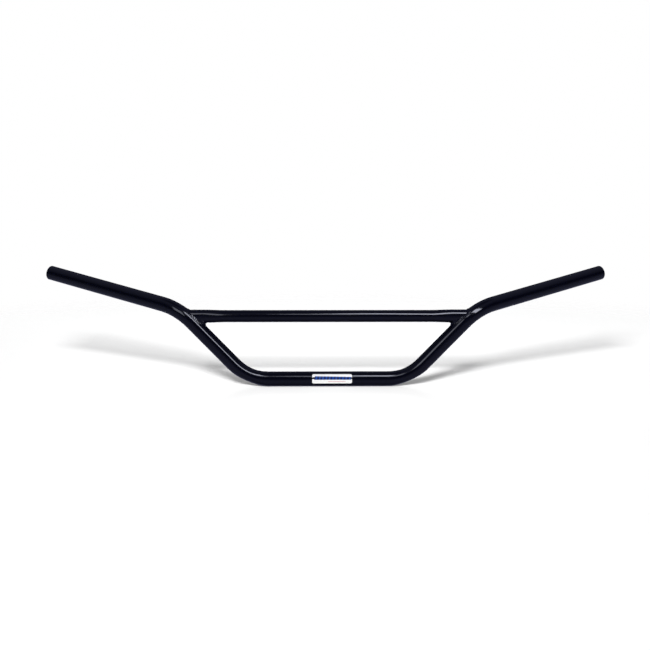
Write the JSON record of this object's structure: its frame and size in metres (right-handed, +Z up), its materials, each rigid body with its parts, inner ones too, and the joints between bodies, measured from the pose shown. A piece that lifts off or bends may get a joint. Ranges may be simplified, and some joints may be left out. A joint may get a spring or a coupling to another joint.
{
  "type": "handlebar",
  "caption": "Bent tubular motorcycle handlebar with raised, swept-back grip ends, a thinner welded crossbar between its risers and a small printed label on the clamp zone.",
  "frame": {"origin": "on the main tube's axis, in the middle of the straight clamp zone", "axes": "+X along the bar's width, +Y towards the rider (the grips sweep this way, and the label faces -Y), +Z up the risers"},
  "size_m": [0.8808, 0.127, 0.1724],
  "materials": {
    "tube_paint": "semi-gloss black paint with fine orange peel",
    "weld_paint": "semi-gloss black paint over rippled weld metal",
    "label_film": null
  },
  "bodies": {
    "root": {"main_tube": "tube_paint", "crossbar": "tube_paint", "weld_left": "weld_paint", "weld_right": "weld_paint", "label": "label_film"}
  },
  "joints": []
}
